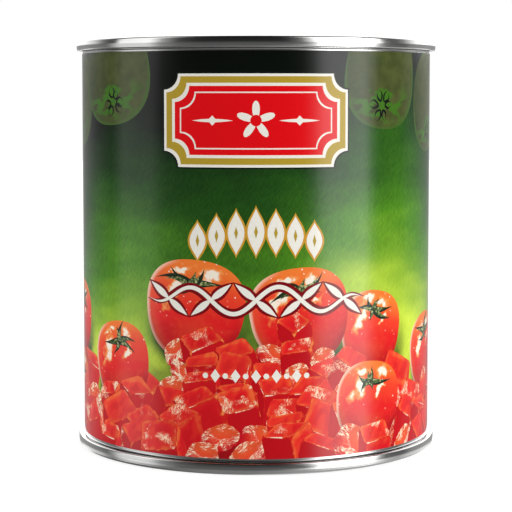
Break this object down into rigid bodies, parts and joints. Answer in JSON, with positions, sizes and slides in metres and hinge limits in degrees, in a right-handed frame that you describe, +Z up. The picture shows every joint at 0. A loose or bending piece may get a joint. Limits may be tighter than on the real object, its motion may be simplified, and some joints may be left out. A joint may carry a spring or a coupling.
{
  "type": "tin of tomatoes",
  "caption": "Shut round food tin with double-seamed ends, ringed end panels and a wrapped paper label printed with tomatoes.",
  "frame": {"origin": "centre of the circle that the can stands on, at the lowest plane of the bottom seam", "axes": "+Z up along the can's axis; the front of the label faces -Y and the label's glued overlap is at the back, on +Y; +X is to the right seen from the front"},
  "size_m": [0.1026, 0.1026, 0.115],
  "materials": {
    "wall_tinplate": "bright tinplate, bare only beside the two seams",
    "end_tinplate": "bright tinplate with fine drawing lines round the seams and beads",
    "printed_paper": "gloss-varnished printed paper, dark green to lime with red tomatoes"
  },
  "bodies": {
    "root": {"can_body": "wall_tinplate", "top_end": "end_tinplate", "bottom_end": "end_tinplate", "paper_label": "printed_paper"}
  },
  "joints": []
}
